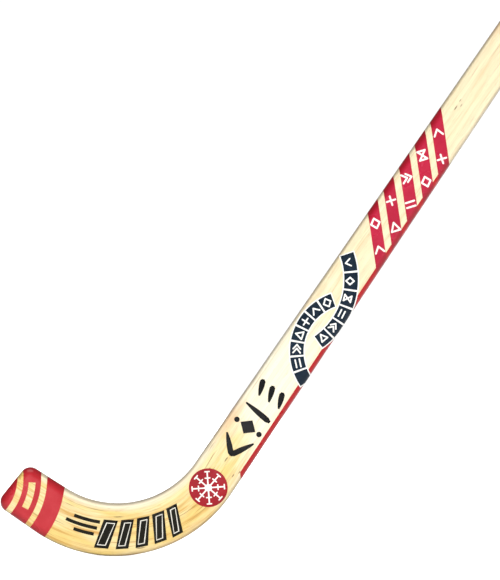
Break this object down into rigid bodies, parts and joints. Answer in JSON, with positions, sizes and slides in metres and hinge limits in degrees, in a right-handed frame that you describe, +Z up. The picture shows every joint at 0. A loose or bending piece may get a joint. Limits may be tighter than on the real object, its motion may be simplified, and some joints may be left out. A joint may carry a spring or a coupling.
{
  "type": "roller hockey stick",
  "caption": "One-piece laminated wooden stick with a straight tapered shaft and a short hooked blade, printed with abstract transfers.",
  "frame": {"origin": "the point where the sole of the blade touches the floor, in the middle of the stick's thickness, with the stick in the playing pose of the picture", "axes": "+Z up; +X from the toe side towards the butt, so the shaft rises along +X and +Z at 55.9 degrees; the printed front face looks along -Y"},
  "size_m": [0.6928, 0.0204, 0.7915],
  "materials": {
    "lacquered_wood": "gloss lacquer",
    "red_print": "gloss",
    "crimson_print": "gloss",
    "black_print": "gloss",
    "slate_print": "gloss",
    "white_print": "gloss"
  },
  "bodies": {
    "root": {"ply_01": "lacquered_wood", "ply_02": "lacquered_wood", "ply_03": "lacquered_wood", "ply_04": "lacquered_wood", "ply_05": "lacquered_wood", "ply_06": "lacquered_wood", "ply_07": "lacquered_wood", "ply_08": "lacquered_wood", "ply_09": "lacquered_wood", "ply_10": "lacquered_wood", "ply_11": "lacquered_wood", "ply_12": "lacquered_wood", "ply_13": "lacquered_wood", "toe_print": "red_print", "blade_emblem": "black_print", "emblem_inlines": "white_print", "roundel_disc": "red_print", "roundel_star": "white_print", "shaft_marks": "black_print", "edge_stripe": "red_print", "diagonal_stripes": "crimson_print", "stripe_glyphs": "white_print", "lower_band_border": "white_print", "lower_band_tiles": "slate_print", "lower_band_glyphs": "white_print", "upper_band_border": "white_print", "upper_band_tiles": "slate_print", "upper_band_glyphs": "white_print"}
  },
  "joints": []
}
